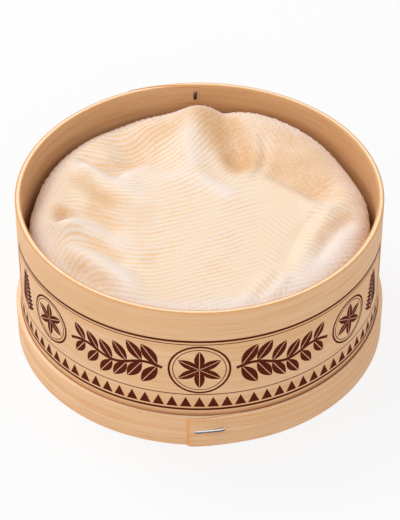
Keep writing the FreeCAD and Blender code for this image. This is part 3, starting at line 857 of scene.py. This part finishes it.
def galvanised_wire(name, bright, dark, roughness):
    """Zinc-coated steel wire, with a painted highlight along its upper edge and painted shade underneath.

    The zinc is uneven in spots of one and two thirds of a millimetre.
    """
    made, tree, shader = material(name, {"Metallic": 1.0, "Roughness": roughness})
    place = add(tree, "ShaderNodeTexCoord", out="Object")
    crown = add(tree, "ShaderNodeAttribute", out="Fac", attribute_name="crown")
    spots = add(tree, "ShaderNodeTexNoise", {"Vector": place, "Scale": 1 / (5 / 3 * MM), "Detail": 2.0})
    # painted highlight along one narrow edge of the wire, the upper one on the front staple, and painted
    # shade along the other, mixed with the zinc's uneven spots
    painted_shine_and_spots = add(tree, "ShaderNodeMath", {0: crown, 1: spots}, operation="ADD")
    painted_shine_and_spots = add(tree, "ShaderNodeMapRange", {0: painted_shine_and_spots, 1: 0.45, 2: 1.25})
    skin = add(tree, "ShaderNodeMix", {0: painted_shine_and_spots, 6: colour(dark), 7: colour(bright)}, **COLOURS)
    tree.links.new(skin, shader.inputs["Base Color"])
    return made


def printing_ink():
    """Dark brown ink stamped on bare wood: dry and matt, thin where the fibres stood up.

    The thin places are 2 mm long and a sixth of that high.
    """
    made, tree, shader = material("brown_ink", {"Roughness": 0.75, "Specular IOR Level": 0.1})
    place = add(tree, "ShaderNodeTexCoord", out="Object")
    pressed = add(tree, "ShaderNodeMapping", {"Vector": place, "Scale": (1, 1, 6)})
    thin = add(tree, "ShaderNodeTexNoise", {"Vector": pressed, "Scale": 1 / (2 * MM), "Detail": 3.0})
    thin = add(tree, "ShaderNodeMapRange", {0: thin, 1: 0.5, 2: 0.75})
    skin = add(tree, "ShaderNodeMix", {0: thin, 6: colour("551705"), 7: colour("6B2A12")}, **COLOURS)
    tree.links.new(skin, shader.inputs["Base Color"])
    return made


# ---------------------------------------------------------------- assembly

def dress(piece, slot, *nodes):
    """Fixes a piece to the body and hides the CAD nodes that it stands for. The slot, its finish, is not
    used.
    """
    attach(piece, "root")
    if nodes:
        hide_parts(*nodes)


dress(rind(washed_rind()), "rind", "cheese")

# Painted shade darkens the inner face, where the radius is less than the middle of the wall's, and the foot,
# just above the joint below.
box_spruce = peeled_spruce(
    "peeled_spruce",
    tint=("EFC499", "E9B786", "DB9A60"),
    rim_tint=("FDE6C6", "F6CF9F", "E3A05C"),
    flat_from=0.66,
    shaded_within=HOOP_RADIUS - 1.5,
    shaded_to=17.6,
)
lid_spruce = peeled_spruce(
    "peeled_spruce_lid",
    tint=("F0C69A", "E9B684", "DB9058"),
    # the lid's rim colours are partly painted light: raised to make up for the shade that the tall hoop casts
    # on the lid's rim
    rim_tint=("FFE4C0", "FFD2A0", "F0A055"),
    flat_from=0.3,
)
box_hoop = hoop(
    "box_hoop",
    near=HOOP_RADIUS,
    way=-1,
    wall=HOOP_WALL,
    step=HOOP_STEP,
    lap=24.0,
    start=90.0,
    low=BOX_LOW[2],
    high=BOX_HIGH[2],
    end_sawn=0.12,
    material=box_spruce,
)
dress(box_hoop, "box_spruce", "box_wall")
lid_hoop = hoop(
    "lid_hoop",
    near=77.12,
    way=1,
    wall=2.05,
    step=1.0,
    lap=16.0,
    start=-93.7,
    low=LID_LOW[2],
    high=LID_HIGH[2],
    end_sawn=0.3,
    material=lid_spruce,
)
dress(lid_hoop, "lid_spruce", "lid_wall")

# The staple in the lid's lap lies on the hoop, three degrees right of the front, and leans by five.
zinc = galvanised_wire("galvanised_wire", bright="EEF1F4", dark="4E5660", roughness=0.25)
staple_height = (LID_LOW[2] + LID_HIGH[2]) / 2 + 1.2
on_lid = on_hoop(80.06, bearing=273.0, height=staple_height, tilt=5.0, way=1)
front_staple = wire("front_staple", bent_staple(12.4, 2.0, 0.8), on_lid, 1.4, 0.6, zinc)
dress(front_staple, "staple_wire", "staple_front")

# The two tips of the staple in the box's lap lie side by side on the inner face, upright.
dull = galvanised_wire("dull_wire", bright="8C8682", dark="3E3834", roughness=0.4)
inner_face = HOOP_RADIUS - HOOP_WALL - HOOP_STEP
for number, way, bearing, nodes in ((1, 1, 91.28, ["staple_back"]), (2, -1, 91.72, [])):
    on_box = on_hoop(inner_face, bearing, height=RIM - 5.3, tilt=90.0, way=-1)
    tip = wire(f"back_staple_{number}", clenched_tip(way), on_box, 1.0, 0.6, dull)
    dress(tip, "staple_wire", *nodes)

dress(print_on_hoop(frieze(), printing_ink()), "box_spruce")
board = sawn_board()
for node in ("box_board", "lid_board"):
    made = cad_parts[node]
    made.data.materials.clear()
    made.data.materials.append(board)


# ---------------------------------------------------------------- studio

def seen_directly(tree):
    """1 where the camera, or a mirror or glass, looks straight at a surface or the sky."""
    seen = add(tree, "ShaderNodeLightPath", out="Is Camera Ray")
    for ray in ("Is Glossy Ray", "Is Transmission Ray"):
        also = add(tree, "ShaderNodeLightPath", out=ray)
        seen = add(tree, "ShaderNodeMath", {0: seen, 1: also}, operation="MAXIMUM")
    return seen


# The floor's ring in millimetres and its steps, the distances in metres between which its white comes
# up, from which share, and the strength with which the sky lights the part.
FLOOR_HOLE = 78.6
FLOOR_EDGE = 4000.0
FLOOR_STEPS = 96
WHITE_FROM = 0.1
WHITE_TO = 0.8
WHITE_NEAR = 0.82
SKY = 0.57
WHITE = (1, 1, 1, 1)


def studio():
    """A pale floor that is lifted towards white where it is looked at, and a pale sky that shows as white.

    The floor is a flat ring. Its hole lies hidden under the part and lets light reach the underside.
    From underneath the floor is clear, so that the part can be looked at from there.
    """
    turn = np.linspace(0, 2 * np.pi, FLOOR_STEPS, endpoint=False)
    radius = np.array([FLOOR_HOLE, FLOOR_EDGE])[:, None]
    corners = around(radius, turn, 0 * radius * turn).reshape(-1, 3)
    paint, tree, shader = material("floor_paint", {"Roughness": 0.9, "Base Color": colour("F0F0F0")})
    place = add(tree, "ShaderNodeTexCoord", out="Object")
    away = add(tree, "ShaderNodeVectorMath", {0: place}, "Value", operation="LENGTH")
    lifted = {0: away, 1: WHITE_FROM, 2: WHITE_TO, 3: WHITE_NEAR, 4: 1.0}
    lifted = add(tree, "ShaderNodeMapRange", lifted)
    lift = add(tree, "ShaderNodeMath", {0: seen_directly(tree), 1: lifted}, operation="MULTIPLY")
    white = add(tree, "ShaderNodeEmission", {"Color": WHITE, "Strength": 1.0})
    shown = add(tree, "ShaderNodeMixShader", {0: lift, 1: shader.outputs[0], 2: white})
    clear = add(tree, "ShaderNodeBsdfTransparent")
    below = add(tree, "ShaderNodeNewGeometry", out="Backfacing")
    shown = add(tree, "ShaderNodeMixShader", {0: below, 1: shown, 2: clear})
    tree.links.new(shown, tree.nodes["Material Output"].inputs[0])
    ring = grid_faces(2, FLOOR_STEPS, close_columns=True)[:, ::-1]
    floor = mesh_piece("floor", corners, [ring], paint)
    world = bpy.data.worlds.new("sky")
    bpy.context.scene.world = world
    world.use_nodes = True
    sky = world.node_tree
    bright = add(sky, "ShaderNodeMapRange", {0: seen_directly(sky), 3: SKY, 4: 1.0})
    sky.links.new(bright, sky.nodes["Background"].inputs["Strength"])
    sky.nodes["Background"].inputs["Color"].default_value = WHITE


# The place in metres that the lamps are turned to.
AIM = (0, 0, 0.05)


def lamp(name, place, size, power):
    """A square soft light at a place in metres, turned towards the part."""
    light = bpy.data.lights.new(name, "AREA")
    light.size = size
    light.energy = power
    thing = bpy.data.objects.new(name, light)
    thing.location = place
    thing.rotation_euler = (Vector(AIM) - Vector(place)).to_track_quat("-Z", "Y").to_euler()
    bpy.context.scene.collection.objects.link(thing)


# The camera's focal length in millimetres on a frame 36 mm wide, its place in metres and its tilt.
FOCAL_LENGTH = 151.3
CAMERA_PLACE = (0, -0.7121, 0.6407)
CAMERA_TILT = 40.5


def camera():
    """A long lens in front of the box, looking down at it."""
    lens = bpy.data.cameras.new("camera")
    lens.sensor_width = 36
    lens.lens = FOCAL_LENGTH
    lens.shift_x = 0.001
    thing = bpy.data.objects.new("camera", lens)
    thing.location = CAMERA_PLACE
    thing.rotation_euler = (math.radians(90 - CAMERA_TILT), 0, 0)
    bpy.context.scene.collection.objects.link(thing)
    bpy.context.scene.camera = thing


studio()
lamp("key", (-0.55, 0.50, 1.00), 0.6, 5.85)
lamp("side", (-1.10, -0.50, 0.55), 0.5, 2.7)
lamp("front", (0.35, -0.95, 0.80), 0.8, 2.5)
camera()
bpy.context.scene.view_settings.view_transform = "Standard"
